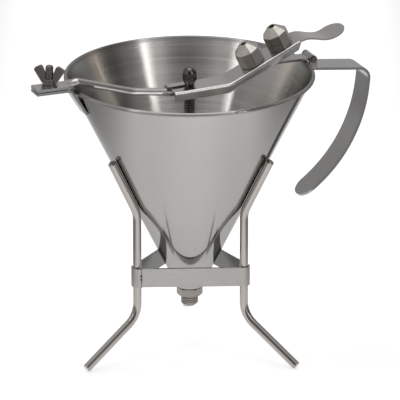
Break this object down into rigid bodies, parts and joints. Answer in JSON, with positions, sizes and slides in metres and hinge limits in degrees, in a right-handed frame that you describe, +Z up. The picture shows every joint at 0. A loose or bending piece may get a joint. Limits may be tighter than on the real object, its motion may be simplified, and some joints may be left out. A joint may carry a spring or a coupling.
{
  "type": "sauce portion dispenser",
  "caption": "Conical steel funnel with a thumb lever that lifts a valve rod, a strap handle, spare nozzles kept on the lever and a stand of bent rods.",
  "frame": {"origin": "on the funnel's axis at table level, between the feet", "axes": "+Z up along the funnel's axis; +X along the lever towards the handle; +Y to the left of +X"},
  "size_m": [0.2872, 0.2026, 0.2703],
  "materials": {
    "rods": "polished",
    "sheet": "polished outside, brushed inside",
    "straps": "satin",
    "turned": "machined",
    "spring_wire": "drawn wire"
  },
  "bodies": {
    "stand": {"left_leg": "rods", "right_leg": "rods", "rear_leg": "rods", "leg_band": "sheet"},
    "funnel": {"funnel_cone": "sheet", "outlet_fitting": "turned", "left_bracket": "straps", "clamp_stud": "turned", "clamp_washer": "turned", "guide_arm": "straps", "guide_bush": "turned", "handle_strap": "straps", "hinge_bracket": "straps", "hinge_pin": "turned", "closing_spring": "spring_wire"},
    "wing_nut": {"wing_nut": "turned"},
    "lever": {"thumb_lever": "straps", "hinge_tongue": "straps", "nozzle_post_a": "turned", "nozzle_post_b": "turned"},
    "nozzle_a": {"nozzle_a": "turned"},
    "nozzle_b": {"nozzle_b": "turned"},
    "valve": {"valve_rod": "turned", "ball_knob": "turned", "spring_collar": "turned", "valve_plug": "turned"}
  },
  "joints": [
    {"name": "funnel_lift", "type": "slide", "parent": "stand", "child": "funnel", "axis": [0, 0, 1], "range_m": [0, 0.13]},
    {"name": "lever_press", "type": "hinge", "parent": "funnel", "child": "lever", "pos_m": [0.105, 0, 0.23902], "axis": [0, 1, 0], "range_deg": [0, 8]},
    {"name": "valve_lift", "type": "slide", "parent": "funnel", "child": "valve", "axis": [0, 0, 1], "range_m": [0, 0.01467], "stiffness_N_per_m": 300, "springref_m": -0.01, "deforming": ["closing_spring"]},
    {"name": "wing_nut_turn", "type": "hinge", "parent": "funnel", "child": "wing_nut", "pos_m": [-0.12, 0, 0.245], "axis": [0, 0, 1], "continuous": true},
    {"name": "nozzle_a_off", "type": "slide", "parent": "lever", "child": "nozzle_a", "axis": [-0.4337, 0, 0.9011], "range_m": [0, 0.02]},
    {"name": "nozzle_b_off", "type": "slide", "parent": "lever", "child": "nozzle_b", "axis": [-0.4337, 0, 0.9011], "range_m": [0, 0.02]}
  ],
  "couplings": [
    {"joint": "valve_lift", "follows": "lever_press", "m_per_rad": 0.105}
  ]
}
